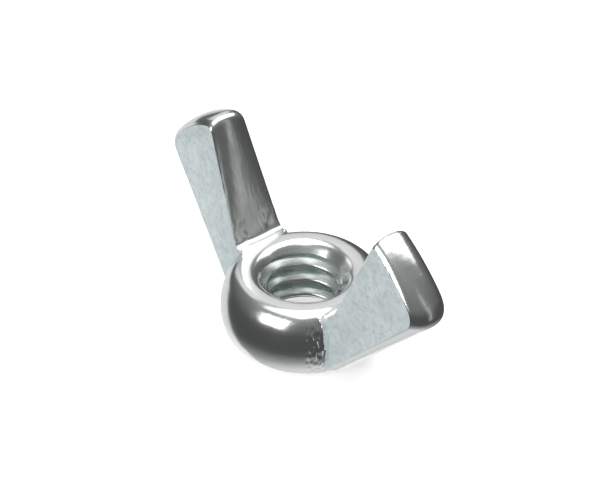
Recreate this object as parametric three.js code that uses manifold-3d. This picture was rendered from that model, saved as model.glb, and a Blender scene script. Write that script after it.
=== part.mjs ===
// A cold-forged wing nut for a quarter-inch, 20-turn stud: a round hub with a threaded bore, and two
// wings that are turned by thumb and finger. The real nut is one forging. It is modelled as three regions
// of that forging, the hub and the two wings, with a narrow gap where they join.
// Millimetres. +Z runs up the bore from the bearing face towards the wing tips, the origin is the middle
// of the bearing face, and +X points to the right wing. Y is the thickness of the wings.
import * as THREE from "three";
import { mergeVertices } from "three/addons/utils/BufferGeometryUtils.js";
import Module from "manifold-3d";

// Thread: 20 turns to the inch, with 60-degree flanks, right-handed.
const PITCH = 25.4 / 20;
const THREAD_ROOT_RADIUS = 3.2;
const THREAD_CREST_RADIUS = 2.55;
const ROOT_FLAT = PITCH / 8;
const FLANK_ANGLE = Math.PI / 6;
const THREAD_START = -1.43; // height of the first groove where it crosses +X
const THREAD_TURNS = 6.5;
const STEPS_PER_TURN = 32;
const RIDGE_OVERLAP = 0.25; // how far the tap's ridge sinks into its core

// Hub: a barrel with a flat bearing face, rounded shoulders and a 90-degree countersink at each end.
const HUB_RADIUS = 5.8;
const HUB_HEIGHT = 5.1;
const BEARING_RADIUS = 4.6;
const CROWN_RADIUS = 4.0; // outer edge of the flat ring round the top of the bore
const WIDEST_HEIGHT = 2.2;
const SHOULDER = 0.58; // how far each shoulder's handles reach, as a share of its own span
const COUNTERSINK_RADIUS = 3.45;
const HUB_SEGMENTS = 64;
const SHOULDER_POINTS = 8;

// Wing: its flat side, in X and Z. It widens from the root to the tip and leans outwards.
const INNER_ROOT = new THREE.Vector2(5.0, 4.4);
const INNER_TIP = new THREE.Vector2(8.8, 12.7);
const OUTER_TIP = new THREE.Vector2(12.6, 9.7);
const OUTER_ROOT = new THREE.Vector2(6.0, 2.1);
const INNER_CORNER = 0.5;
const OUTER_CORNER = 0.8;
const TIP_CROWN = 0.36; // rise of the tip's arc over its chord
const BURIED = 1.6; // how far the outline runs on into the hub before it is cut off
const ROOT_HALF_THICKNESS = 2.05;
const TIP_HALF_THICKNESS = 1.4;

// The edges between the two flat sides of a wing bulge at mid-thickness. A bulge is the rise over a face
// that is half the tip's width from the spine, and less over a nearer one, so the narrow root needs more.
const OUTER_BULGE_AT_ROOT = 2.0;
const OUTER_BULGE_AT_TIP = 0.95;
const INNER_BULGE = 0.25;
const TIP_BULGE = 0.5;
const BULGE_LAYERS = 8;

const ROOT_GAP = 0.3; // between a wing and the hub
const MERGE_DISTANCE = 1e-4; // vertices nearer than this are one vertex
const WELL_CLEAR = 1; // how far a cutter runs past what it cuts

const wasm = await Module();
wasm.setup();

// A closed three.js geometry as a solid that can be joined and cut.
function toSolid(geometry) {
  const bare = geometry.index ? geometry.toNonIndexed() : geometry.clone();
  bare.deleteAttribute("normal");
  bare.deleteAttribute("uv");
  const merged = mergeVertices(bare, MERGE_DISTANCE);
  return new wasm.Manifold(
    new wasm.Mesh({
      numProp: 3,
      vertProperties: new Float32Array(merged.attributes.position.array),
      triVerts: new Uint32Array(merged.index.array),
    }),
  );
}

function toGeometry(solid) {
  const mesh = solid.getMesh();
  return new THREE.BufferGeometry()
    .setAttribute("position", new THREE.BufferAttribute(mesh.vertProperties, 3))
    .setIndex(new THREE.BufferAttribute(mesh.triVerts, 1));
}

// Moves every vertex of a geometry to where place(point) says.
function reshape(geometry, place) {
  const positions = geometry.attributes.position;
  const point = new THREE.Vector3();
  for (let i = 0; i < positions.count; i++) {
    place(point.fromBufferAttribute(positions, i));
    positions.setXYZ(i, point.x, point.y, point.z);
  }
  return geometry;
}

// A profile of radius and height, turned round the Z axis.
function turned(profile) {
  return toSolid(new THREE.LatheGeometry(profile, HUB_SEGMENTS).rotateX(Math.PI / 2));
}

// The hub's outside, without its bore, grown all round by a clearance.
function barrel(clearance) {
  const widest = HUB_RADIUS + clearance;
  const top = HUB_HEIGHT + clearance;
  const lowReach = (HUB_RADIUS - BEARING_RADIUS) * SHOULDER;
  const highReach = (HUB_RADIUS - CROWN_RADIUS) * SHOULDER;
  const lower = new THREE.CubicBezierCurve(
    new THREE.Vector2(BEARING_RADIUS, -clearance),
    new THREE.Vector2(BEARING_RADIUS + lowReach, -clearance),
    new THREE.Vector2(widest, WIDEST_HEIGHT * (1 - SHOULDER)),
    new THREE.Vector2(widest, WIDEST_HEIGHT),
  );
  const upper = new THREE.CubicBezierCurve(
    new THREE.Vector2(widest, WIDEST_HEIGHT),
    new THREE.Vector2(widest, WIDEST_HEIGHT + (HUB_HEIGHT - WIDEST_HEIGHT) * SHOULDER),
    new THREE.Vector2(CROWN_RADIUS + highReach, top),
    new THREE.Vector2(CROWN_RADIUS, top),
  );
  return turned([
    new THREE.Vector2(0, -clearance),
    ...lower.getPoints(SHOULDER_POINTS),
    ...upper.getPoints(SHOULDER_POINTS).slice(1),
    new THREE.Vector2(0, top),
  ]);
}

// A cone that flares at 45 degrees from the thread's crest to the countersink's mouth, and on past the end.
function countersink(mouthHeight, direction) {
  const depth = COUNTERSINK_RADIUS - THREAD_CREST_RADIUS + WELL_CLEAR / 2;
  const inside = new THREE.Vector2(0, mouthHeight - direction * depth);
  const narrow = new THREE.Vector2(COUNTERSINK_RADIUS - depth, mouthHeight - direction * depth);
  const wide = new THREE.Vector2(COUNTERSINK_RADIUS + WELL_CLEAR, mouthHeight + direction * WELL_CLEAR);
  const outside = new THREE.Vector2(0, mouthHeight + direction * WELL_CLEAR);
  const profile = [inside, narrow, wide, outside];
  return turned(direction > 0 ? profile : profile.reverse());
}

// The ridge of a tap: the groove's section, wound round the bore as a right-hand helix. It is wound from
// the upper end downwards, which keeps its faces pointing out.
function threadRidge() {
  const innerRadius = THREAD_CREST_RADIUS - RIDGE_OVERLAP;
  const halfRoot = ROOT_FLAT / 2;
  const halfMouth = halfRoot + (THREAD_ROOT_RADIUS - innerRadius) * Math.tan(FLANK_ANGLE);
  const section = new THREE.Shape([
    new THREE.Vector2(innerRadius, -halfMouth),
    new THREE.Vector2(THREAD_ROOT_RADIUS, -halfRoot),
    new THREE.Vector2(THREAD_ROOT_RADIUS, halfRoot),
    new THREE.Vector2(innerRadius, halfMouth),
  ]);
  const straight = new THREE.ExtrudeGeometry(section, {
    depth: THREAD_TURNS,
    steps: Math.round(THREAD_TURNS * STEPS_PER_TURN),
    bevelEnabled: false,
  });
  return toSolid(
    reshape(straight, (p) => {
      const turn = THREAD_TURNS - p.z;
      const angle = turn * 2 * Math.PI;
      p.set(p.x * Math.cos(angle), p.x * Math.sin(angle), THREAD_START + PITCH * turn + p.y);
    }),
  );
}

function boreCore() {
  const length = HUB_HEIGHT + 2 * WELL_CLEAR;
  const core = new THREE.CylinderGeometry(THREAD_CREST_RADIUS, THREAD_CREST_RADIUS, length, HUB_SEGMENTS);
  return toSolid(core.rotateX(Math.PI / 2).translate(0, 0, HUB_HEIGHT / 2));
}

function hub() {
  return barrel(0)
    .subtract(boreCore().add(threadRidge()))
    .subtract(countersink(HUB_HEIGHT, 1))
    .subtract(countersink(0, -1));
}

// The flat side of a wing as a shape in X and Z, with its root run on into the hub.
function wingOutline() {
  const along = (from, to, distance) => to.clone().sub(from).setLength(distance).add(from);
  const buriedInner = along(INNER_ROOT, INNER_TIP, -BURIED);
  const buriedOuter = along(OUTER_ROOT, OUTER_TIP, -BURIED);
  const rise = OUTER_TIP.clone().sub(INNER_TIP).rotateAround(new THREE.Vector2(), Math.PI / 2);
  const crown = INNER_TIP.clone().add(OUTER_TIP).multiplyScalar(0.5).add(rise.setLength(2 * TIP_CROWN));
  const innerIn = along(INNER_TIP, INNER_ROOT, INNER_CORNER);
  const innerOut = along(INNER_TIP, crown, INNER_CORNER);
  const outerIn = along(OUTER_TIP, crown, OUTER_CORNER);
  const outerOut = along(OUTER_TIP, OUTER_ROOT, OUTER_CORNER);
  return new THREE.Shape()
    .moveTo(buriedOuter.x, buriedOuter.y)
    .lineTo(outerOut.x, outerOut.y)
    .quadraticCurveTo(OUTER_TIP.x, OUTER_TIP.y, outerIn.x, outerIn.y)
    .quadraticCurveTo(crown.x, crown.y, innerOut.x, innerOut.y)
    .quadraticCurveTo(INNER_TIP.x, INNER_TIP.y, innerIn.x, innerIn.y)
    .lineTo(buriedInner.x, buriedInner.y);
}

// The right wing: the outline given its thickness, tapered towards the tip, with its edges bulged.
function wing() {
  const root = INNER_ROOT.clone().add(OUTER_ROOT).multiplyScalar(0.5);
  const tip = INNER_TIP.clone().add(OUTER_TIP).multiplyScalar(0.5);
  const length = root.distanceTo(tip);
  const spine = tip.clone().sub(root).normalize();
  const across = new THREE.Vector2(spine.y, -spine.x);
  const halfWidth = INNER_TIP.distanceTo(OUTER_TIP) / 2;
  const slab = new THREE.ExtrudeGeometry(wingOutline(), {
    depth: 2,
    steps: BULGE_LAYERS,
    bevelEnabled: false,
    curveSegments: 5,
  });
  slab.translate(0, 0, -1).rotateX(Math.PI / 2);
  const shaped = reshape(slab, (p) => {
    const from = new THREE.Vector2(p.x, p.z).sub(root);
    const up = from.dot(spine);
    const out = from.dot(across);
    const middle = 1 - p.y * p.y; // 0 on the flat sides, 1 halfway between them
    const along = THREE.MathUtils.clamp(up / length, 0, 1);
    const outerBulge = THREE.MathUtils.lerp(OUTER_BULGE_AT_ROOT, OUTER_BULGE_AT_TIP, along);
    const bulge = out > 0 ? outerBulge : INNER_BULGE;
    const bulgedOut = out * (1 + (middle * bulge) / halfWidth);
    const bulgedUp = up + middle * TIP_BULGE * Math.max(0, up / length) ** 4;
    p.x = root.x + spine.x * bulgedUp + across.x * bulgedOut;
    p.y *= THREE.MathUtils.mapLinear(up, 0, length, ROOT_HALF_THICKNESS, TIP_HALF_THICKNESS);
    p.z = root.y + spine.y * bulgedUp + across.y * bulgedOut;
  });
  return toSolid(shaped).subtract(barrel(ROOT_GAP));
}

const zincPlate = () => new THREE.MeshStandardMaterial({ color: 0xc3cbcd, roughness: 0.28, metalness: 1 });
const satinZincPlate = () => new THREE.MeshStandardMaterial({ color: 0xb9c3c6, roughness: 0.45, metalness: 1 });

const hubMesh = new THREE.Mesh(toGeometry(hub()), zincPlate());
hubMesh.name = "hub";

const wingGeometry = toGeometry(wing());
const rightWing = new THREE.Mesh(wingGeometry, satinZincPlate());
rightWing.name = "wing_right";
const leftWing = new THREE.Mesh(wingGeometry, satinZincPlate());
leftWing.name = "wing_left";
leftWing.rotation.z = Math.PI;

const wingNut = new THREE.Group();
wingNut.add(hubMesh, rightWing, leftWing);

export default wingNut;
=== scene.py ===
# %% [markdown]
# # A forged wing nut
# A wing nut is turned by thumb and finger, so it needs no spanner. This one is cold-forged: a slug of
# steel wire is pressed between dies into a round hub with two wings, the bore is punched and threaded,
# and the whole nut is plated with bright zinc. This lesson makes it in Blender in the same order: hub,
# wings, one continuous forging, thread, plating, and then a small studio to look at it in.
#
# The measured frame comes first. It holds the nut's real sizes, in metres, with +Z up the bore, +X along
# the wings and the origin in the middle of the face that the nut stands on. The hub's outside and the
# wings' reach are worked out from its boxes. Every other size is a named detail of this nut, in
# millimetres, and all of them are estimates.

# %% Load the measured frame
import math
import bmesh
import bpy
from mathutils import Matrix, Vector, noise
from mathutils.geometry import interpolate_bezier


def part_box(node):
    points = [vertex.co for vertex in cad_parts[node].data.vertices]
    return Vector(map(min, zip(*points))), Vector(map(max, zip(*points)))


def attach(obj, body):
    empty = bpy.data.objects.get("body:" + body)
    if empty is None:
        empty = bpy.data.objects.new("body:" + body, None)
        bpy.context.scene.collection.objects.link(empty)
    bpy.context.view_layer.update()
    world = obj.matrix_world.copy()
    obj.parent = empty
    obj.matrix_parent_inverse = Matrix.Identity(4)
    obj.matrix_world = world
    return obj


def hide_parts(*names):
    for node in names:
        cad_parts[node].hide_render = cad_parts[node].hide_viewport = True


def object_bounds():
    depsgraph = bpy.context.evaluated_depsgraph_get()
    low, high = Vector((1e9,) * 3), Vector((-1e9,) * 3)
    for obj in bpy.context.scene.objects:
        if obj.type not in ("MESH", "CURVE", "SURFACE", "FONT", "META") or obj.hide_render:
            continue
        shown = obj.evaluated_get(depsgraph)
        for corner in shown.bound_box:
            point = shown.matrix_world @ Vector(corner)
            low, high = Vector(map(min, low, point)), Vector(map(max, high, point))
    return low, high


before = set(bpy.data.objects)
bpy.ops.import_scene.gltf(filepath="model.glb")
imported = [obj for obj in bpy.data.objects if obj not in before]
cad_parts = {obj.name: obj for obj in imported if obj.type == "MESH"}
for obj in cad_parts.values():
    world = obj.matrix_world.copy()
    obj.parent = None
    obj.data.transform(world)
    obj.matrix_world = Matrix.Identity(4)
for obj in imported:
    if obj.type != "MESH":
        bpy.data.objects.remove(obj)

cad_box = [list(corner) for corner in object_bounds()]
MM = 0.001
hub_low, hub_high = (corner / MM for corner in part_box("hub"))
wing_low, wing_high = (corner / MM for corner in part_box("wing_right"))
print("hub, mm:", [round(v, 2) for v in hub_high - hub_low])
print("right wing, mm:", [round(v, 2) for v in wing_high - wing_low])

# %% [markdown]
# ## Working in millimetres
# A scene is in metres, and this nut is 27 thousandths of one. Small shapes are easier to read, and safer
# to cut, in millimetres. So each mesh below is made in millimetres and shrunk once at the end.
# Two helpers turn a bmesh into an object and back, so that modifiers and mesh operators can take turns.


# %% Helpers that pass a shape between bmesh and an object
def make_object(shape, name):
    """Put a finished bmesh into a new object, and free the bmesh."""
    mesh = bpy.data.meshes.new(name)
    shape.to_mesh(mesh)
    shape.free()
    piece = bpy.data.objects.new(name, mesh)
    bpy.context.scene.collection.objects.link(piece)
    return piece


def bake_modifiers(piece):
    """Replace a piece's mesh with what its modifiers make of it."""
    graph = bpy.context.evaluated_depsgraph_get()
    baked = bpy.data.meshes.new_from_object(piece.evaluated_get(graph))
    piece.modifiers.clear()
    old, piece.data = piece.data, baked
    bpy.data.meshes.remove(old)


def seal(shape):
    """Close seams and poles, and turn every face outwards."""
    bmesh.ops.remove_doubles(shape, verts=shape.verts, dist=1e-4)
    bmesh.ops.recalc_face_normals(shape, faces=shape.faces)


# %% [markdown]
# ## The hub
# The dies leave the hub as a barrel: widest below its middle, rounded generously over the top, tighter at
# the foot, and dished at both ends of the bore to lead the stud in. It could be a cylinder with its edges
# bevelled, but a bevel makes only circular rounds, and these are fuller than that. So half of its section
# is drawn as Bezier arcs and spun round the bore. The hole is left too small here, and the tap opens it
# to its true size later.

# %% Draw the hub's section and spin it
HUB_RADIUS = hub_high.x
HUB_HEIGHT = hub_high.z
WIDEST_HEIGHT = 2.2
BEARING_RADIUS = 4.6
CROWN_RADIUS = 4.1
MOUTH_RADIUS = 3.45
MOUTH_LIP = 0.3  # how far the lip's round reaches
PUNCHED_RADIUS = 2.2
FULLNESS = 0.58  # how far each arc's handles reach, as a share of its own span
ARC_POINTS = 12
HUB_STEPS = 96


def arc(start, corner, end, fullness=FULLNESS):
    """Points from start to end, rounding off a corner between them. Fullness 0.55 is nearly a circle."""
    start, corner, end = Vector(start), Vector(corner), Vector(end)
    first_handle = start.lerp(corner, fullness)
    last_handle = end.lerp(corner, fullness)
    return interpolate_bezier(start, first_handle, last_handle, end, ARC_POINTS)


def dish_depth(radius):
    """How deep the 45-degree dish is at a radius."""
    return MOUTH_RADIUS - radius


foot = arc((BEARING_RADIUS, 0, 0), (HUB_RADIUS, 0, 0), (HUB_RADIUS, 0, WIDEST_HEIGHT))
shoulder = arc((HUB_RADIUS, 0, WIDEST_HEIGHT), (HUB_RADIUS, 0, HUB_HEIGHT), (CROWN_RADIUS, 0, HUB_HEIGHT))
lip_inside = MOUTH_RADIUS - MOUTH_LIP
top_lip = arc(
    (MOUTH_RADIUS + MOUTH_LIP, 0, HUB_HEIGHT),
    (MOUTH_RADIUS, 0, HUB_HEIGHT),
    (lip_inside, 0, HUB_HEIGHT - dish_depth(lip_inside)),
)
punched = [
    Vector((PUNCHED_RADIUS, 0, HUB_HEIGHT - dish_depth(PUNCHED_RADIUS))),
    Vector((PUNCHED_RADIUS, 0, dish_depth(PUNCHED_RADIUS))),
    Vector((MOUTH_RADIUS, 0, 0)),
]
section = foot + shoulder[1:] + top_lip + punched

hub_shape = bmesh.new()
section_verts = [hub_shape.verts.new(point) for point in section]
section_edges = [
    hub_shape.edges.new((here, there))
    for here, there in zip(section_verts, section_verts[1:] + section_verts[:1])
]
bmesh.ops.spin(
    hub_shape,
    geom=section_verts + section_edges,
    cent=(0, 0, 0),
    axis=(0, 0, 1),
    angle=math.tau,
    steps=HUB_STEPS,
    use_merge=True,
)
seal(hub_shape)
print("hub section:", len(section), "points, barrel:", len(hub_shape.faces), "faces")
hub_piece = make_object(hub_shape, "hub_blank")

# %% [markdown]
# ## The wings
# Each wing is a paddle that leans outwards, wider and thinner at the tip than at the root. Its two flat
# sides are where the trimming die sheared the flash away, and the narrow faces between them were pressed
# in the dies, so they bulge. A box with a taper would be too stiff-looking. So the flat side is drawn as an
# outline with its own corner rounds, extruded in layers from side to side, and the layers are then pushed
# out: most at mid-thickness, least at the sides. The last part of the root is buried in the hub.

# %% Draw the flat side of a wing
inner_root = Vector((HUB_RADIUS - 0.8, 0, HUB_HEIGHT - 0.7))
outer_root = Vector((HUB_RADIUS, 0, WIDEST_HEIGHT))
inner_tip = Vector((wing_high.x - 4.55, 0, wing_high.z - 0.55))
outer_tip = Vector((wing_high.x - 0.85, 0, wing_high.z - 3.5))
ROOT_HALF_THICKNESS = 2.05
TIP_HALF_THICKNESS = 1.4
TIP_CROWN = 0.36
CROWN_FULLNESS = 2 / 3
BURIED = 1.6
ROOT_FILLET = 1.4  # how far the round at the inner root reaches up the wing
FILLET_END = HUB_RADIUS - 1.2
FILLET_SINK = 0.05  # how far below the hub's top the round ends

root_middle = (inner_root + outer_root) / 2
tip_middle = (inner_tip + outer_tip) / 2
wing_length = (tip_middle - root_middle).length
spine = (tip_middle - root_middle).normalized()
across = Vector((spine.z, 0, -spine.x))  # from the inner face to the outer face
half_width = (outer_tip - inner_tip).length / 2
crown = tip_middle + spine * 2 * TIP_CROWN


def toward(start, end, distance):
    """The point that lies a distance from start, in the direction of end."""
    return start + (end - start).normalized() * distance


def side_outline(inner_corner, outer_corner, inner_reach=0.0, tip_reach=0.0, outer_reach=0.0):
    """The flat side's outline. The reaches stretch its inner tip corner, its tip and its outer edge."""
    shifted_outer_root = outer_root + across * outer_reach
    outer = outer_tip + across * outer_reach + spine * tip_reach
    inner = toward(inner_tip, inner_root, -inner_reach - tip_reach)
    top = crown + spine * tip_reach
    crown_start = toward(outer, top, outer_corner)
    crown_end = toward(inner, top, inner_corner)
    fillet_end = (FILLET_END, 0, HUB_HEIGHT - FILLET_SINK)
    return (
        [toward(shifted_outer_root, outer, -BURIED)]
        + arc(toward(outer, shifted_outer_root, outer_corner), outer, crown_start)
        + arc(crown_start, top, crown_end, CROWN_FULLNESS)[1:]
        + arc(crown_end, inner, toward(inner, inner_root, inner_corner))[1:]
        + arc(toward(inner_root, inner_tip, ROOT_FILLET), inner_root, fillet_end)
        + [Vector((FILLET_END, 0, HUB_HEIGHT - BURIED))]
    )


# %% Extrude it in layers and push the layers into shape
LAYERS = 16
TIP_INSET = 0.45
TIP_BULGE = 0.75
OUTER_BULGE_AT_ROOT = 3.4
OUTER_BULGE_AT_TIP = 1.15
INNER_BULGE = 0.45
SHEAR_ALLOWANCE = 0.15  # extra thickness on each side, for the shears to take off
CLEAR_OF_BEARING = 0.35
OUTER_DOME = 2.3  # how flat each bulge is on top
INNER_DOME = 2
TIP_DOME = 2.6
TIP_ONSET = 6  # how late along the wing the tip's bulge begins


def domed(side, power):
    """How far a face bulges at a place from -1 to 1 across the wing. A higher power is flatter on top."""
    return (1 - min(1, abs(side)) ** power) ** (1 / power)


def half_thickness_at(up):
    """Half of a wing's thickness at a distance up its spine."""
    return ROOT_HALF_THICKNESS + (TIP_HALF_THICKNESS - ROOT_HALF_THICKNESS) * up / wing_length


def forge_wing(outline):
    """A closed bmesh of the right wing."""
    shape = bmesh.new()
    side_face = shape.faces.new([shape.verts.new(point) for point in outline])
    extruded = bmesh.ops.extrude_face_region(shape, geom=[side_face])
    far_side = [part for part in extruded["geom"] if isinstance(part, bmesh.types.BMVert)]
    bmesh.ops.translate(shape, verts=far_side, vec=(0, 2, 0))
    bmesh.ops.translate(shape, verts=shape.verts, vec=(0, -1, 0))
    crosswise = [edge for edge in shape.edges if abs(edge.verts[0].co.y - edge.verts[1].co.y) > 1]
    bmesh.ops.subdivide_edges(shape, edges=crosswise, cuts=LAYERS - 1, use_grid_fill=True)
    for vert in shape.verts:
        side = math.sin(vert.co.y * math.pi / 2)  # crowds the layers towards the flat sides
        from_root = vert.co - root_middle
        up, out = from_root.dot(spine), from_root.dot(across)
        along = min(1, max(0, up / wing_length))
        outer_bulge = OUTER_BULGE_AT_ROOT + (OUTER_BULGE_AT_TIP - OUTER_BULGE_AT_ROOT) * along
        if out > 0:
            out *= 1 + outer_bulge / half_width * domed(side, OUTER_DOME)
        else:
            out *= 1 + INNER_BULGE / half_width * domed(side, INNER_DOME) * along
        near_tip = max(0, up / wing_length) ** TIP_ONSET
        half_thickness = half_thickness_at(up) + SHEAR_ALLOWANCE
        up += near_tip * (TIP_BULGE * domed(side, TIP_DOME) - TIP_INSET)
        vert.co = root_middle + spine * up + across * out
        vert.co.y = side * half_thickness
        vert.co.z = max(vert.co.z, CLEAR_OF_BEARING)
    seal(shape)
    return shape


right_outline = side_outline(inner_corner=0.15, outer_corner=0.75, inner_reach=0.35)
left_outline = side_outline(inner_corner=0.5, outer_corner=0.75, tip_reach=0.25, outer_reach=0.25)
right_wing = forge_wing(right_outline)
left_wing = forge_wing(left_outline)
bmesh.ops.rotate(left_wing, verts=left_wing.verts, cent=(0, 0, 0), matrix=Matrix.Rotation(math.pi, 3, "Z"))
print("wing faces:", len(right_wing.faces), "length, mm:", round(wing_length, 2))
wing_pieces = [make_object(right_wing, "right_wing_blank"), make_object(left_wing, "left_wing_blank")]

# %% [markdown]
# ## One forging
# The three blanks overlap, and the real metal runs through them without a seam. A boolean union would
# leave a knife-sharp line where wing meets hub. Instead a voxel remesh wraps all three in one even skin of
# small squares, which also takes the razor edge off every corner as a die does. A few passes of smoothing
# then settle the skin.
#
# The roots need a small fillet, where metal flowed into the radius of the die. Smoothing alone would wear
# down the outside corners as well, so it is allowed to fill hollows and never to take metal away.

# %% Wrap the blanks in one skin
VOXEL = 0.1
SKIN_PASSES = 3


def settle(shape, verts):
    """One pass of smoothing: each vertex moves halfway to the middle of its neighbours."""
    bmesh.ops.smooth_vert(shape, verts=verts, factor=0.5, use_axis_x=True, use_axis_y=True, use_axis_z=True)


def join(pieces, name):
    """Join several closed pieces in one object, without merging them."""
    merged = bmesh.new()
    for piece in pieces:
        merged.from_mesh(piece.data)
        bpy.data.meshes.remove(piece.data)
    return make_object(merged, name)


forging = join([hub_piece, *wing_pieces], "wing_nut_forging")
wrap = forging.modifiers.new("wrap", "REMESH")
wrap.mode = "VOXEL"
wrap.voxel_size = VOXEL
bake_modifiers(forging)
skin = bmesh.new()
skin.from_mesh(forging.data)
for _ in range(SKIN_PASSES):
    settle(skin, skin.verts)
print("skin:", len(skin.faces), "faces")


# %% Fill the roots
def fill_hollows(shape, verts, passes):
    """Smooth some vertices, but keep only the moves that add metal."""
    for _ in range(passes):
        shape.normal_update()
        before = [(vert, vert.co.copy(), vert.normal.copy()) for vert in verts]
        settle(shape, verts)
        for vert, old_place, outwards in before:
            if (vert.co - old_place).dot(outwards) < 0:
                vert.co = old_place


def within(low, high):
    """The skin's vertices in a box that is repeated on both wings."""
    return [
        vert
        for vert in skin.verts
        if low[0] < abs(vert.co.x) < high[0] and abs(vert.co.y) < high[1] and low[2] < vert.co.z < high[2]
    ]


ROOT_PASSES = 10
root_all_round = within((3.9, 0, 0.6), (8.0, 3.4, 7.5))
fill_hollows(skin, root_all_round, passes=ROOT_PASSES)
print("root fillets:", len(root_all_round), "vertices")

# %% [markdown]
# ## What the dies and the shears leave behind
# No forged face is truly flat. The dies are polished by hand and wear, so the skin rolls by about a
# hundredth of a millimetre, which is what makes reflections wander. Where the flash was sheared off
# beside each wing, the hub keeps a narrow strip of upright tear marks.
#
# Both could be bump in the material. But a bump doesn't change an outline, and the tear marks catch the
# light from every side, so they are real shape: each vertex moves a little along its own normal, by a
# smooth noise that depends only on its place.

# %% Roll the skin and tear the shear strips
ROLL_DEPTH = 0.012
ROLL_LENGTH = 2.2
ROOT_LUMP_DEPTH = 0.04
ROOT_LUMP_LENGTH = 0.8
TEAR_DEPTH = 0.06
TEAR_WIDTH = 0.15  # from one upright mark to the next
TEAR_RUN = 0.4  # how far a mark runs before it changes
STRIP_START = math.radians(20)  # where the strip begins, measured round the bore from the wing
STRIP_END = math.radians(36)
STRIP_FADE = 0.03  # radians
STRIP_RADII = (4.9, 5.3)  # the strip fades in between these, out towards the hub's side
STRIP_HEIGHTS = (0.4, 4.2, 0.5)  # lowest, highest and fade
CORNER_X = (4.6, 6.2, 0.4)  # start, end and fade, as in the next two lines
CORNER_Y = (1.0, 2.4, 0.3)
CORNER_Z = (4.4, 6.2, 0.5)
BEARING_FADE = 0.15
LUMP_SEED = Vector((3, 0, 0))
TEAR_SEED = 5


def ramp(low, high, value):
    """0 below low, 1 above high, and a smooth step between them."""
    share = min(1, max(0, (value - low) / (high - low)))
    return share * share * (3 - 2 * share)


def window(low, high, fade, value):
    """1 between low and high, fading to 0 outside them."""
    return ramp(low - fade, low, value) * (1 - ramp(high, high + fade, value))


def shear_strip(place):
    """How much a place belongs to a strip of tear marks. Each wing has one, on the same hand."""
    if place.x * place.y > 0:
        return 0
    turn = math.atan2(abs(place.y), abs(place.x))
    radius = math.hypot(place.x, place.y)
    beside_wing = window(STRIP_START, STRIP_END, STRIP_FADE, turn)
    return beside_wing * ramp(*STRIP_RADII, radius) * window(*STRIP_HEIGHTS, place.z)


def root_corner(place):
    """How much a place belongs to the uneven metal where a wing's inner face meets the hub."""
    return window(*CORNER_X, abs(place.x)) * window(*CORNER_Y, abs(place.y)) * window(*CORNER_Z, place.z)


skin.normal_update()
moves = []
for vert in skin.verts:
    place = vert.co
    turn = math.atan2(place.y, place.x)
    roll = ROLL_DEPTH * noise.noise(place / ROLL_LENGTH)
    lump = ROOT_LUMP_DEPTH * noise.noise(place / ROOT_LUMP_LENGTH + LUMP_SEED) * root_corner(place)
    marks = Vector((turn * HUB_RADIUS / TEAR_WIDTH, place.z / TEAR_RUN, TEAR_SEED))
    tear = TEAR_DEPTH * noise.noise(marks) * shear_strip(place)
    off_bearing = ramp(0, BEARING_FADE, place.z)  # the bearing face stays flat
    moves.append(vert.normal * (roll + lump + tear) * off_bearing)
for vert, move in zip(skin.verts, moves):
    vert.co += move
print("largest move, mm:", round(max(move.length for move in moves), 3))
skin.to_mesh(forging.data)
skin.free()

# %% [markdown]
# ## Shearing the flash
# Metal that squeezed out between the dies is sheared off along both sides of each wing. That is why the
# sides are flat, and why their edges are the only crisp ones on the nut. The wings were left a little
# thick for this. A bevel could only round an edge that is there, so the sides are cut instead, with four
# blocks, one for each side. The blocks are hollowed first to the shape of the hub, so they stop at it.

# %% Make the shear blocks
BLOCK_REACH = 7.0
HUB_CLEARANCE = 1.004  # the blocks stay this much larger than the hub

barrel_section = [Vector((0, 0, 0))] + foot + shoulder[1:] + [Vector((0, 0, HUB_HEIGHT))]
barrel_shape = bmesh.new()
barrel_verts = [barrel_shape.verts.new(point * HUB_CLEARANCE) for point in barrel_section]
barrel_edges = [barrel_shape.edges.new(pair) for pair in zip(barrel_verts, barrel_verts[1:])]
bmesh.ops.spin(
    barrel_shape,
    geom=barrel_verts + barrel_edges,
    cent=(0, 0, 0),
    axis=(0, 0, 1),
    angle=math.tau,
    steps=HUB_STEPS,
    use_merge=True,
)
seal(barrel_shape)
barrel = make_object(barrel_shape, "barrel")

blocks_shape = bmesh.new()
for wing_turn in (0, math.pi):
    for side in (-1, 1):
        corners = bmesh.ops.create_cube(blocks_shape, size=2)["verts"]
        for vert in corners:
            up = wing_length / 2 + vert.co.z * BLOCK_REACH
            height = half_thickness_at(up) if vert.co.y < 0 else BLOCK_REACH
            vert.co = root_middle + spine * up + across * vert.co.x * BLOCK_REACH / 2
            vert.co.y = side * height
        bmesh.ops.rotate(
            blocks_shape, verts=corners, cent=(0, 0, 0), matrix=Matrix.Rotation(wing_turn, 3, "Z")
        )
bmesh.ops.recalc_face_normals(blocks_shape, faces=blocks_shape.faces)
shears = make_object(blocks_shape, "shears")


def subtract(piece, tool):
    """Cut a tool out of a piece. The cut faces keep the tool's material number."""
    cut = piece.modifiers.new("cut", "BOOLEAN")
    cut.operation = "DIFFERENCE"
    cut.solver = "EXACT"
    cut.material_mode = "INDEX"
    cut.object = tool


def number_faces(piece, number):
    """Give a piece three empty material slots, and all its faces one of them."""
    piece.data.materials.clear()
    for _ in range(3):
        piece.data.materials.append(None)
    for face in piece.data.polygons:
        face.material_index = number


PRESSED, TAPPED, SHEARED = range(3)
number_faces(barrel, SHEARED)
number_faces(shears, SHEARED)
number_faces(forging, PRESSED)
subtract(shears, barrel)
bake_modifiers(shears)
print("shear blocks:", len(shears.data.polygons), "faces")

# %% Shear the wings
subtract(forging, shears)
bake_modifiers(forging)
for tool in (shears, barrel):
    bpy.data.meshes.remove(tool.data)
print("sheared faces:", sum(face.material_index == SHEARED for face in forging.data.polygons))

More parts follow.
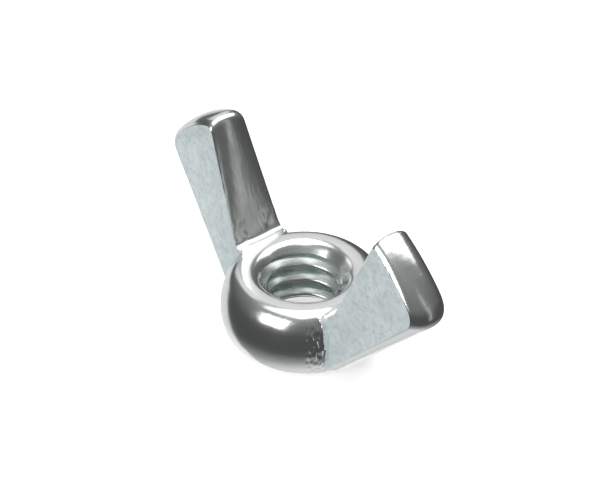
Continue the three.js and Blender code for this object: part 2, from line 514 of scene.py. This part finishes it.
# %% [markdown]
# ## The thread
# A tap cuts the thread: a core of the hole's own size, and a ridge with 60-degree flanks that winds round
# it as a right-hand helix. It could be faked with a bump, but the thread is what the nut is for, and light
# falls on its flanks. A bmesh spin with a small upward step at each turn makes exactly this helix. The tap
# is then taken out of the forging with booleans, ridge first and core second.

# %% Make the tap
PITCH = 25.4 / 20
CREST_RADIUS = 2.55
THREAD_ROOT_RADIUS = 3.2
ROOT_FLAT = PITCH / 8
FLANK_ANGLE = math.radians(30)
CREST_ROUND = 0.06
RIDGE_OVERLAP = 0.25
FIRST_GROOVE = -1.43  # height at which the helix starts, over +X
TURNS = 6
STEPS_PER_TURN = 72
TAP_MARGIN = 1.0

half_root = ROOT_FLAT / 2
half_mouth = half_root + (THREAD_ROOT_RADIUS - CREST_RADIUS) * math.tan(FLANK_ANGLE)
groove = [
    (CREST_RADIUS - RIDGE_OVERLAP, half_mouth + CREST_ROUND),
    (CREST_RADIUS, half_mouth + CREST_ROUND),
    (CREST_RADIUS + CREST_ROUND, half_mouth - CREST_ROUND / 4),
    (THREAD_ROOT_RADIUS, half_root),
]
groove += [(radius, -height) for radius, height in reversed(groove)]

ridge_shape = bmesh.new()
ridge_face = ridge_shape.faces.new(
    [ridge_shape.verts.new((radius, 0, FIRST_GROOVE + height)) for radius, height in groove]
)
bmesh.ops.spin(
    ridge_shape,
    geom=[ridge_face, *ridge_face.edges, *ridge_face.verts],
    cent=(0, 0, 0),
    axis=(0, 0, 1),
    dvec=(0, 0, PITCH / STEPS_PER_TURN),
    angle=math.tau * TURNS,
    steps=STEPS_PER_TURN * TURNS,
)
seal(ridge_shape)
print("open edges on the ridge:", sum(not edge.is_manifold for edge in ridge_shape.edges))

core_shape = bmesh.new()
bmesh.ops.create_cone(
    core_shape,
    cap_ends=True,
    segments=HUB_STEPS,
    radius1=CREST_RADIUS,
    radius2=CREST_RADIUS,
    depth=HUB_HEIGHT + 2 * TAP_MARGIN,
    matrix=Matrix.Translation((0, 0, HUB_HEIGHT / 2)),
)
ridge = make_object(ridge_shape, "tap_ridge")
core = make_object(core_shape, "tap_core")

# %% Cut the thread
for tool in (ridge, core):
    number_faces(tool, TAPPED)
    subtract(forging, tool)
bake_modifiers(forging)
for tool in (ridge, core):
    bpy.data.meshes.remove(tool.data)
print("tapped faces:", sum(face.material_index == TAPPED for face in forging.data.polygons))

# %% Mark the torn strips for the material
torn_shares = [shear_strip(vert.co) for vert in forging.data.vertices]
marked = forging.data.attributes.new("torn", "FLOAT", "POINT")
marked.data.foreach_set("value", torn_shares)
print("vertices in the torn strips:", sum(share > 0.5 for share in torn_shares))

# %% Bring the forging to metres and set its shading
SHARP_ANGLE = math.radians(38)

forging.data.transform(Matrix.Scale(MM, 4))
forging.data.shade_smooth()
forging.data.set_sharp_from_angle(angle=SHARP_ANGLE)
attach(forging, "root")
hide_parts("hub", "wing_left", "wing_right")
forging.data.calc_loop_triangles()
print("forging:", len(forging.data.loop_triangles), "triangles")

# %% [markdown]
# ## Effects that the finishes share
# The plate is one metal with three finishes: the pressed skin, the sheared sides and the tapped thread.
# All have the fine grain of the plating bath, and some are streaked or pitted. So each effect is built
# once, as a node group, and put in each material with its own values. A group gives out only a height or
# a mask, and the material decides what to do with it.

# %% A helper for building node trees
def add_node(tree, kind, **settings):
    """Add a node. A setting that is an input's name sets that input, and any other one sets the node."""
    node = tree.nodes.new(kind)
    for name, value in settings.items():
        socket = node.inputs.get(name.replace("_", " "))
        if socket is not None:
            socket.default_value = value
        else:
            setattr(node, name, value)
    return node


def math_node(tree, operation, first, second):
    """Add a Math node whose two inputs are numbers or other nodes' outputs, and give its output."""
    node = tree.nodes.new("ShaderNodeMath")
    node.operation = operation
    for socket, value in zip(node.inputs, (first, second)):
        if isinstance(value, (int, float)):
            socket.default_value = value
        else:
            tree.links.new(value, socket)
    return node.outputs[0]


def new_group(name, inputs, outputs):
    """Make an empty node group, and give it with its input and output nodes."""
    group = bpy.data.node_groups.new(name, "ShaderNodeTree")
    for socket_name, kind in inputs.items():
        group.interface.new_socket(socket_name, in_out="INPUT", socket_type=kind)
    for socket_name in outputs:
        group.interface.new_socket(socket_name, in_out="OUTPUT", socket_type="NodeSocketFloat")
    return group, group.nodes.new("NodeGroupInput"), group.nodes.new("NodeGroupOutput")


# %% Zinc grain: a fine tooth over broad, faint patches
grain, given, result = new_group(
    "zinc_grain",
    {"Vector": "NodeSocketVector", "Grains per metre": "NodeSocketFloat"},
    ["Height", "Patches"],
)
fine = add_node(grain, "ShaderNodeTexNoise", Detail=3.0, Roughness=0.6)
patches = add_node(grain, "ShaderNodeTexNoise", Scale=700.0, Detail=2.0, Roughness=0.55)
grain.links.new(given.outputs["Vector"], fine.inputs["Vector"])
grain.links.new(given.outputs["Grains per metre"], fine.inputs["Scale"])
grain.links.new(given.outputs["Vector"], patches.inputs["Vector"])
grain.links.new(fine.outputs["Fac"], result.inputs["Height"])
grain.links.new(patches.outputs["Fac"], result.inputs["Patches"])

# %% Pits: ragged specks of uneven size, in some places only
pits, given, result = new_group(
    "pits", {"Vector": "NodeSocketVector", "Pits per metre": "NodeSocketFloat"}, ["Mask"]
)
ragged = add_node(pits, "ShaderNodeTexNoise", Scale=5000.0, Detail=2.0)
pits.links.new(given.outputs["Vector"], ragged.inputs["Vector"])
shift = add_node(pits, "ShaderNodeVectorMath", operation="SCALE", Scale=0.0003)
pits.links.new(ragged.outputs["Color"], shift.inputs[0])
moved = add_node(pits, "ShaderNodeVectorMath", operation="ADD")
pits.links.new(given.outputs["Vector"], moved.inputs[0])
pits.links.new(shift.outputs[0], moved.inputs[1])
cells = add_node(pits, "ShaderNodeTexVoronoi")
pits.links.new(moved.outputs[0], cells.inputs["Vector"])
pits.links.new(given.outputs["Pits per metre"], cells.inputs["Scale"])
chance = pits.nodes.new("ShaderNodeSeparateColor")
pits.links.new(cells.outputs["Color"], chance.inputs["Color"])
reach = math_node(pits, "MULTIPLY", math_node(pits, "POWER", chance.outputs[0], 3.0), 0.4)
inside = math_node(pits, "SUBTRACT", reach, cells.outputs["Distance"])
soft = math_node(pits, "MULTIPLY", inside, 4.0)
mask = add_node(pits, "ShaderNodeClamp")
pits.links.new(soft, mask.inputs["Value"])
pits.links.new(mask.outputs["Result"], result.inputs["Mask"])

# %% Streaks: noise drawn out along one direction
streaks, given, result = new_group(
    "streaks",
    {"Vector": "NodeSocketVector", "Turn": "NodeSocketVector", "Stretch": "NodeSocketVector"},
    ["Height"],
)
lay = add_node(streaks, "ShaderNodeMapping")
streaks.links.new(given.outputs["Vector"], lay.inputs["Vector"])
streaks.links.new(given.outputs["Turn"], lay.inputs["Rotation"])
streaks.links.new(given.outputs["Stretch"], lay.inputs["Scale"])
drawn = add_node(streaks, "ShaderNodeTexNoise", Scale=1.0, Detail=2.0, Roughness=0.5)
streaks.links.new(lay.outputs["Vector"], drawn.inputs["Vector"])
streaks.links.new(drawn.outputs["Fac"], result.inputs["Height"])
print("groups:", [group.name for group in bpy.data.node_groups])

# %% [markdown]
# ## Bright zinc plate
# Bright zinc is a little bluer and softer than chrome: it mirrors its surroundings, slightly blurred. On
# the pressed skin, faint streaks follow the flow of metal out along the wings, and the torn strips beside
# them are scored upright. The strips are known by a number on each vertex, which fades at their edges.

# %% Start a plate material
def start_plate(name):
    """A metal material, with its tree, shader and object coordinates."""
    material = bpy.data.materials.new(name)
    material.use_nodes = True
    tree = material.node_tree
    shader = tree.nodes["Principled BSDF"]
    shader.inputs["Metallic"].default_value = 1
    return material, tree, shader, tree.nodes.new("ShaderNodeTexCoord").outputs["Object"]


def use_group(tree, group, place, **values):
    """Put a group in a material, fed with coordinates."""
    node = tree.nodes.new("ShaderNodeGroup")
    node.node_tree = group
    tree.links.new(place, node.inputs["Vector"])
    for name, value in values.items():
        node.inputs[name.replace("_", " ")].default_value = value
    return node


def mix_colours(tree, share, first, second, blend="MIX"):
    """Mix two colours, each a tuple or an output, by an output or a number."""
    node = tree.nodes.new("ShaderNodeMix")
    node.data_type = "RGBA"
    node.blend_type = blend
    for socket, value in ((node.inputs[0], share), (node.inputs[6], first), (node.inputs[7], second)):
        if isinstance(value, (tuple, float, int)):
            socket.default_value = value
        else:
            tree.links.new(value, socket)
    return node.outputs[2]


def mix_numbers(tree, share, first, second):
    """Mix two numbers, each a number or an output, by an output."""
    node = tree.nodes.new("ShaderNodeMix")
    for socket, value in ((node.inputs[0], share), (node.inputs[2], first), (node.inputs[3], second)):
        if isinstance(value, (float, int)):
            socket.default_value = value
        else:
            tree.links.new(value, socket)
    return node.outputs[0]


def bumped(tree, height, depth, below=None):
    """Turn a height from 0 to 1 into a normal, on top of another normal if one is given."""
    bump = add_node(tree, "ShaderNodeBump", Strength=1.0, Distance=depth)
    tree.links.new(height, bump.inputs["Height"])
    if below is not None:
        tree.links.new(below, bump.inputs["Normal"])
    return bump.outputs["Normal"]


# %% Bright zinc plate, on the pressed skin
SKIN_COLOUR = (0.80, 0.82, 0.82, 1)
SKIN_PATCH_COLOUR = (0.72, 0.74, 0.73, 1)
SKIN_ROUGHNESS = (0.14, 0.26)
GRAIN_DEPTH = 0.0006 * MM
STREAK_DEPTH = 0.005 * MM
WAVER_DEPTH = 0.004 * MM
SCORE_DEPTH = 0.02 * MM
WING_LEAN = math.atan2(spine.x, spine.z)

plate, tree, shader, place = start_plate("bright_zinc_plate")
torn = add_node(tree, "ShaderNodeAttribute", attribute_name="torn").outputs["Fac"]
grain_node = use_group(tree, grain, place, Grains_per_metre=9000.0)
streak_node = use_group(tree, streaks, place, Turn=(0, WING_LEAN, 0), Stretch=(900, 4000, 900))
score_node = use_group(tree, streaks, place, Stretch=(5000, 5000, 600))
waver_node = use_group(tree, grain, place, Grains_per_metre=2600.0)
base = mix_colours(tree, grain_node.outputs["Patches"], SKIN_COLOUR, SKIN_PATCH_COLOUR)
tree.links.new(base, shader.inputs["Base Color"])
tree.links.new(mix_numbers(tree, grain_node.outputs["Patches"], *SKIN_ROUGHNESS), shader.inputs["Roughness"])
scored = math_node(tree, "MULTIPLY", score_node.outputs["Height"], torn)
wavering = bumped(tree, waver_node.outputs["Height"], WAVER_DEPTH)
grainy = bumped(tree, grain_node.outputs["Height"], GRAIN_DEPTH, wavering)
streaky = bumped(tree, streak_node.outputs["Height"], STREAK_DEPTH, grainy)
tree.links.new(bumped(tree, scored, SCORE_DEPTH, streaky), shader.inputs["Normal"])

# %% [markdown]
# ## Sheared zinc plate
# A sheared face tears on a scale far below the eye's, so it scatters light almost as paper does, and
# plating doesn't hide that. It looks a pale, cool grey from any side, faintly mottled, with dark pits.
# High roughness alone leaves metal too dark here, because it still throws light mostly one way. So the
# finish is a little less metallic too, which adds a scattered part.

# %% Sheared zinc plate
SHEARED_COLOUR = (0.79, 0.87, 0.88, 1)
SHEARED_PATCH_COLOUR = (0.55, 0.63, 0.63, 1)
SHEARED_SPECK_COLOUR = (0.52, 0.59, 0.59, 1)
PIT_COLOUR = (0.30, 0.35, 0.36, 1)
SHEARED_ROUGHNESS = (0.42, 0.6)
SHEARED_METALLIC = 0.45
PIT_DEPTH = 0.01 * MM
MOTTLE_DEPTH = 0.008 * MM

dull, tree, shader, place = start_plate("sheared_zinc_plate")
shader.inputs["Metallic"].default_value = SHEARED_METALLIC
grain_node = use_group(tree, grain, place, Grains_per_metre=6000.0)
pit_node = use_group(tree, pits, place, Pits_per_metre=2600.0)
mottle_node = use_group(tree, grain, place, Grains_per_metre=2400.0)
base = mix_colours(tree, grain_node.outputs["Patches"], SHEARED_COLOUR, SHEARED_PATCH_COLOUR)
mottle = add_node(tree, "ShaderNodeMapRange", From_Min=0.45, From_Max=0.75)
tree.links.new(mottle_node.outputs["Height"], mottle.inputs["Value"])
base = mix_colours(tree, mottle.outputs["Result"], base, SHEARED_SPECK_COLOUR)
specked = math_node(tree, "MULTIPLY", pit_node.outputs["Mask"], 0.5)
tree.links.new(mix_colours(tree, specked, base, PIT_COLOUR), shader.inputs["Base Color"])
tree.links.new(
    mix_numbers(tree, grain_node.outputs["Height"], *SHEARED_ROUGHNESS), shader.inputs["Roughness"]
)
mottled = bumped(tree, grain_node.outputs["Height"], MOTTLE_DEPTH)
sunk = math_node(tree, "SUBTRACT", 1.0, pit_node.outputs["Mask"])
tree.links.new(bumped(tree, sunk, PIT_DEPTH, mottled), shader.inputs["Normal"])

# %% [markdown]
# ## Tapped zinc plate
# The tap leaves fine scores that run round the bore, so the thread is duller than the skin and its
# highlights are drawn out along the helix. The scores are streaks that change quickly up the bore and
# hardly at all round it.

# %% Tapped zinc plate
TAPPED_COLOUR = (0.80, 0.85, 0.84, 1)
TAPPED_DARK_COLOUR = (0.58, 0.64, 0.63, 1)
TAPPED_ROUGHNESS = (0.2, 0.34)
TAP_SCORE_DEPTH = 0.003 * MM

tapped, tree, shader, place = start_plate("tapped_zinc_plate")
grain_node = use_group(tree, grain, place, Grains_per_metre=7000.0)
pit_node = use_group(tree, pits, place, Pits_per_metre=1600.0)
score_node = use_group(tree, streaks, place, Stretch=(300, 300, 9000))
dirt = math_node(tree, "MULTIPLY", pit_node.outputs["Mask"], 0.5)
base = mix_colours(tree, grain_node.outputs["Patches"], TAPPED_COLOUR, TAPPED_DARK_COLOUR)
tree.links.new(mix_colours(tree, dirt, base, TAPPED_DARK_COLOUR), shader.inputs["Base Color"])
tree.links.new(
    mix_numbers(tree, score_node.outputs["Height"], *TAPPED_ROUGHNESS), shader.inputs["Roughness"]
)
grainy = bumped(tree, grain_node.outputs["Height"], GRAIN_DEPTH)
tree.links.new(bumped(tree, score_node.outputs["Height"], TAP_SCORE_DEPTH, grainy), shader.inputs["Normal"])
for number, finish in ((PRESSED, plate), (TAPPED, tapped), (SHEARED, dull)):
    forging.data.materials[number] = finish
print("materials:", [material.name for material in forging.data.materials])

# %% [markdown]
# ## The camera
# The nut is looked at from its front right and from well above, so that one wing shows its inner face and
# the other its outer end. A long lens from nearby keeps the two wings' sizes nearly alike, as a maker's
# catalogue does. The aim is the middle of the frame's box, moved a little so the nut sits low in view.

# %% Camera
CAMERA_AZIMUTH = math.radians(52)
CAMERA_ELEVATION = math.radians(37)
CAMERA_DISTANCE = 153 * MM
CAMERA_LENS = 135
AIM_LEFT = 0.3 * MM
AIM_UP = 0.9 * MM


def toward_viewer(azimuth, elevation):
    """A unit vector from the nut to a place round it. Azimuth 0 is in front, on the -Y side."""
    level = math.cos(elevation)
    return Vector((math.sin(azimuth) * level, -math.cos(azimuth) * level, math.sin(elevation)))


box_low, box_high = (Vector(corner) for corner in cad_box)
back = toward_viewer(CAMERA_AZIMUTH, CAMERA_ELEVATION)
turn = back.to_track_quat("Z", "Y")
aim = (box_low + box_high) / 2 + turn @ Vector((-AIM_LEFT, AIM_UP, 0))
camera = bpy.data.objects.new("camera", bpy.data.cameras.new("camera"))
camera.data.lens = CAMERA_LENS
camera.data.clip_start = 0.01
camera.location = aim + back * CAMERA_DISTANCE
camera.rotation_euler = turn.to_euler()
bpy.context.scene.collection.objects.link(camera)
bpy.context.scene.camera = camera
print("camera at, mm:", [round(v / MM) for v in camera.location])

# %% [markdown]
# ## The studio
# Polished metal has hardly any look of its own: it shows the room. A white room would make the nut
# vanish into the floor, so the room is dark grey round the sides, and a few softboxes give the metal
# something bright to mirror. The pale floor glows and is kept out of the metal's reflections and shadows.
# The room's own pale grey underneath and a lamp called table_glow light the nut from below instead.

# %% Floor
FLOOR_SIZE = 2.0
FLOOR_GAP = 0.02 * MM

floor_shape = bmesh.new()
bmesh.ops.create_grid(floor_shape, x_segments=1, y_segments=1, size=FLOOR_SIZE)
bmesh.ops.translate(floor_shape, verts=floor_shape.verts, vec=(0, 0, -FLOOR_GAP))
floor = make_object(floor_shape, "floor")
floor.visible_glossy = False
floor.visible_shadow = False
floor_paint = bpy.data.materials.new("floor_paint")
floor_paint.use_nodes = True
paint = floor_paint.node_tree.nodes["Principled BSDF"]
paint.inputs["Base Color"].default_value = (0.9, 0.9, 0.9, 1)
paint.inputs["Roughness"].default_value = 0.9
paint.inputs["Emission Color"].default_value = (1, 1, 1, 1)
paint.inputs["Emission Strength"].default_value = 0.6
floor.data.materials.append(floor_paint)

# %% A dark room, lighter above and below
# Each pair is a height, from 0 straight down to 1 straight up, and the room's grey there.
ROOM_GREYS = ((0.0, 0.85), (0.09, 0.36), (0.2, 0.08), (0.5, 0.085), (0.8, 0.2), (1.0, 0.4))

room = bpy.data.worlds.new("room")
bpy.context.scene.world = room
room.use_nodes = True
tree = room.node_tree
way = tree.nodes.new("ShaderNodeTexCoord").outputs["Generated"]
parts = tree.nodes.new("ShaderNodeSeparateXYZ")
tree.links.new(way, parts.inputs[0])
rise = add_node(tree, "ShaderNodeMapRange", From_Min=-1.0, From_Max=1.0)
tree.links.new(parts.outputs["Z"], rise.inputs["Value"])
greys = tree.nodes.new("ShaderNodeValToRGB")
for place, _ in ROOM_GREYS[2:]:
    greys.color_ramp.elements.new(place)
for element, (place, grey) in zip(greys.color_ramp.elements, ROOM_GREYS):
    element.position = place
    element.color = (grey, grey, grey, 1)
tree.links.new(rise.outputs["Result"], greys.inputs["Fac"])
seen_directly = tree.nodes.new("ShaderNodeLightPath").outputs["Is Camera Ray"]
tree.links.new(
    mix_colours(tree, seen_directly, greys.outputs["Color"], (1.0, 1.0, 1.0, 1)),
    tree.nodes["Background"].inputs["Color"],
)
bpy.context.scene.view_settings.view_transform = "Standard"

# %% Softboxes
LIGHT_DISTANCE = 1.0


def softbox(name, right_of_camera, elevation, spread, brightness, tallness=None):
    """A lamp that faces the nut. Spread and tallness are how large it looks from there, in degrees."""
    lamp = bpy.data.lights.new(name, "AREA")
    lamp.shape = "RECTANGLE"
    lamp.size = 2 * LIGHT_DISTANCE * math.tan(math.radians(spread / 2))
    lamp.size_y = 2 * LIGHT_DISTANCE * math.tan(math.radians((tallness or spread) / 2))
    lamp.energy = brightness * 4 * lamp.size * lamp.size_y
    source = bpy.data.objects.new(name, lamp)
    way = toward_viewer(CAMERA_AZIMUTH + math.radians(right_of_camera), math.radians(elevation))
    source.location = way * LIGHT_DISTANCE
    source.rotation_euler = way.to_track_quat("Z", "Y").to_euler()
    source.visible_camera = False
    bpy.context.scene.collection.objects.link(source)
    print(name, "size, m:", round(lamp.size, 2))


softbox("key_light", right_of_camera=-45, elevation=30, spread=30, brightness=4)
softbox("overhead_light", right_of_camera=0, elevation=90, spread=46, brightness=1.3)
softbox("backdrop", right_of_camera=-165, elevation=35, spread=45, brightness=0.5)
softbox("rear_light", right_of_camera=118, elevation=57, spread=38, brightness=1.3)
softbox("table_glow", right_of_camera=-155, elevation=-35, spread=60, brightness=0.6)
softbox("side_card", right_of_camera=66, elevation=8, spread=4, brightness=0.5, tallness=60)
